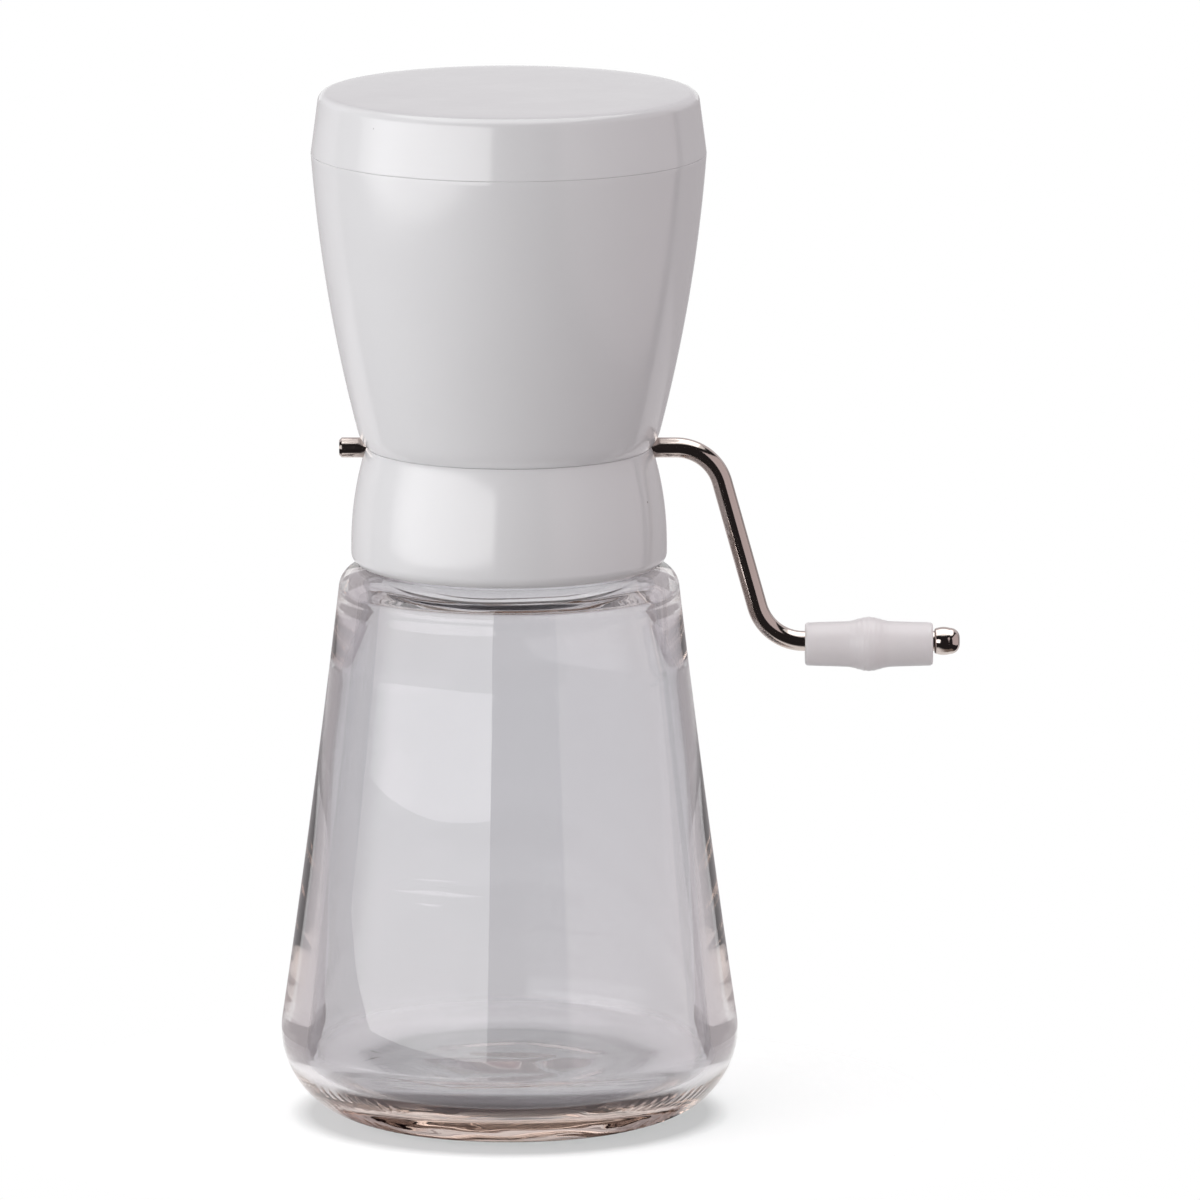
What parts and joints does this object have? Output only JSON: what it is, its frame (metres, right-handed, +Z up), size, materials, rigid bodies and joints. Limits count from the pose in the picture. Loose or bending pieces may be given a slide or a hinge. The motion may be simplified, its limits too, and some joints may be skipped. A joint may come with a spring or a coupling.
{
  "type": "nut chopper",
  "caption": "Hand-cranked nut chopper: flared hopper with slip-on lid on a screw collar and tapered glass jar; a bent-wire crank turns a toothed rotor between combs.",
  "frame": {"origin": "centre of the jar's foot ring, on the table", "axes": "+Z up along the jar's axis, +X along the crank axle towards the crank, +Y away from the viewer of the picture"},
  "size_m": [0.134, 0.0904, 0.204],
  "materials": {
    "flint_glass": "clear pressed glass, fire polished",
    "seal_silicone": "matt moulded silicone",
    "white_plastic": "gloss white injection moulding",
    "nickel_wire": "bright nickel plate on drawn wire",
    "grip_plastic": "milky translucent moulding",
    "blade_steel": "stamped stainless sheet",
    "fastener_steel": "zinc plated steel"
  },
  "bodies": {
    "jar": {"jar": "flint_glass"},
    "seal": {"jar_seal": "seal_silicone"},
    "head": {"collar": "white_plastic", "hopper": "white_plastic", "coarse_comb": "blade_steel", "fine_comb": "blade_steel", "deck_screws": "fastener_steel"},
    "crank": {"crank_rod": "nickel_wire", "grip_cap": "nickel_wire", "rotor_half_front": "blade_steel", "rotor_half_rear": "blade_steel", "rotor_rivets": "fastener_steel"},
    "grip": {"crank_grip": "grip_plastic"},
    "lid": {"lid": "white_plastic"}
  },
  "joints": [
    {"name": "head_lift", "type": "slide", "parent": "jar", "child": "seal", "axis": [0, 0, 1], "range_m": [0, 0.0063]},
    {"name": "head_turn", "type": "hinge", "parent": "seal", "child": "head", "pos_m": [0, 0, 0.1337], "axis": [0, 0, 1], "range_deg": [0, 450]},
    {"name": "crank_turn", "type": "hinge", "parent": "head", "child": "crank", "pos_m": [0, 0, 0.1333], "axis": [1, 0, 0], "continuous": true},
    {"name": "grip_spin", "type": "hinge", "parent": "crank", "child": "grip", "pos_m": [0.0709, 0, 0.094], "axis": [1, 0, 0], "continuous": true},
    {"name": "lid_lift", "type": "slide", "parent": "head", "child": "lid", "axis": [0, 0, 1], "range_m": [0, 0.05]}
  ],
  "couplings": [
    {"joint": "head_lift", "follows": "head_turn", "m_per_rad": 0.00079577}
  ]
}
